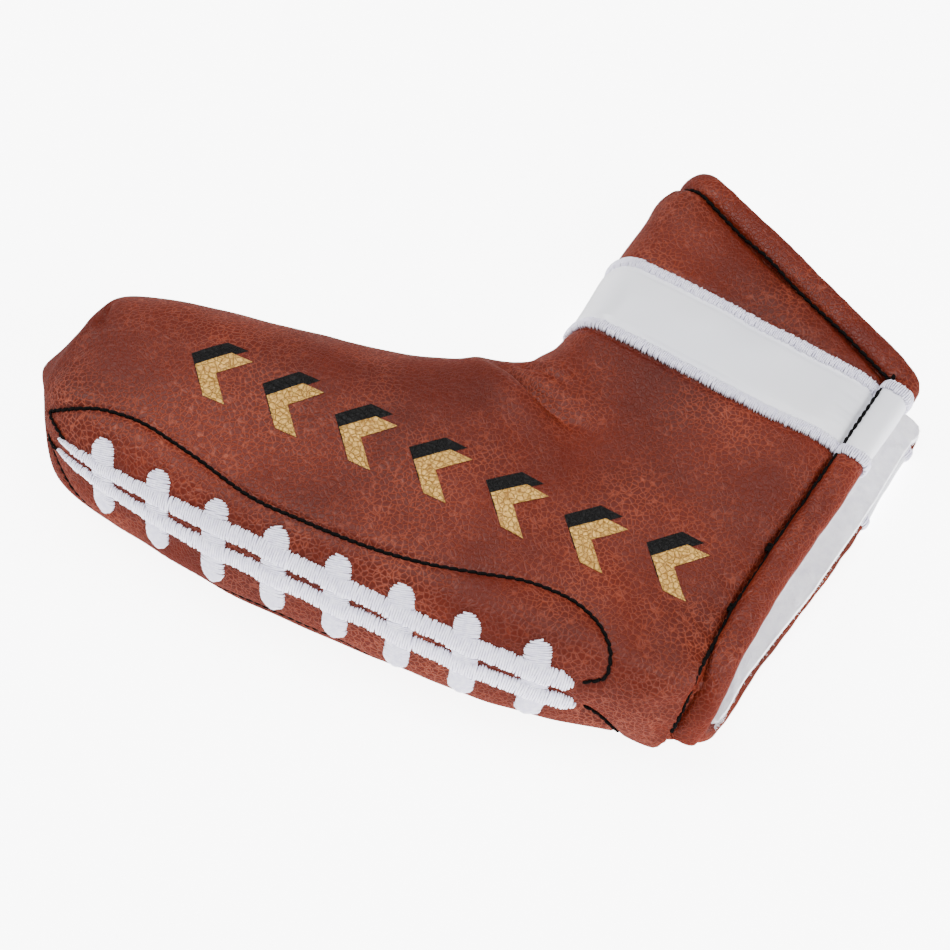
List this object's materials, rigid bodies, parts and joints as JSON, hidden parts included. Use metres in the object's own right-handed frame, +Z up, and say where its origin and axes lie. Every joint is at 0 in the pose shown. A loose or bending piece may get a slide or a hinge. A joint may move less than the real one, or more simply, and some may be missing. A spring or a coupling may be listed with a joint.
{
  "type": "putter head cover",
  "caption": "Boot-shaped padded leather cover for a blade putter's head, with an open collar, a magnetic side flap, a white stripe and embroidered laces along the sole.",
  "frame": {"origin": "middle of the cover's footprint, on the surface that it lies on", "axes": "+X along the sole from the toe to the heel and the mouth, +Y from the sole to the collar, +Z up out of the front panel"},
  "size_m": [0.1894, 0.1548, 0.0378],
  "materials": {
    "leather": "pebbled semi-gloss",
    "hem_leather": "pebbled semi-gloss",
    "foam": "open-cell foam",
    "fleece": "brushed fleece",
    "stripe": "smooth gloss",
    "satin_thread": "satin embroidery",
    "black_thread": "waxed thread",
    "gold_foil": "satin foil",
    "black_print": "matte film",
    "magnet": "nickel plate"
  },
  "bodies": {
    "cover": {"back_foam": "foam", "back_lining": "fleece", "back_panel": "leather", "border_lower_back": "satin_thread", "border_lower_neck": "satin_thread", "border_upper_back": "satin_thread", "border_upper_neck": "satin_thread", "collar_hem_back": "hem_leather", "collar_hem_neck": "hem_leather", "foil_chevrons": "gold_foil", "foil_shadows": "black_print", "football_stitch_back": "black_thread", "football_stitch_front": "black_thread", "front_foam": "foam", "front_lining": "fleece", "front_panel": "leather", "lace_bar_back": "satin_thread", "lace_bar_front": "satin_thread", "lace_cross_1": "satin_thread", "lace_cross_2": "satin_thread", "lace_cross_3": "satin_thread", "lace_cross_4": "satin_thread", "lace_cross_5": "satin_thread", "lace_cross_6": "satin_thread", "lace_cross_7": "satin_thread", "lace_cross_8": "satin_thread", "magnet_back": "magnet", "mouth_hem_back": "hem_leather", "stripe_back": "stripe", "stripe_hem_back": "stripe", "stripe_neck": "stripe"},
    "flap": {"border_lower_flap": "satin_thread", "border_upper_flap": "satin_thread", "collar_hem_flap": "hem_leather", "flap_foam": "foam", "flap_leather": "leather", "flap_lining": "fleece", "magnet_flap": "magnet", "mouth_hem_flap": "hem_leather", "stripe_flap": "stripe", "stripe_hem_flap": "stripe"}
  },
  "joints": [
    {"name": "flap_fold", "type": "hinge", "parent": "cover", "child": "flap", "pos_m": [0.08032, -0.06027, 0.032], "axis": [0.3641, -0.9313, 0], "range_deg": [0, 55]}
  ]
}
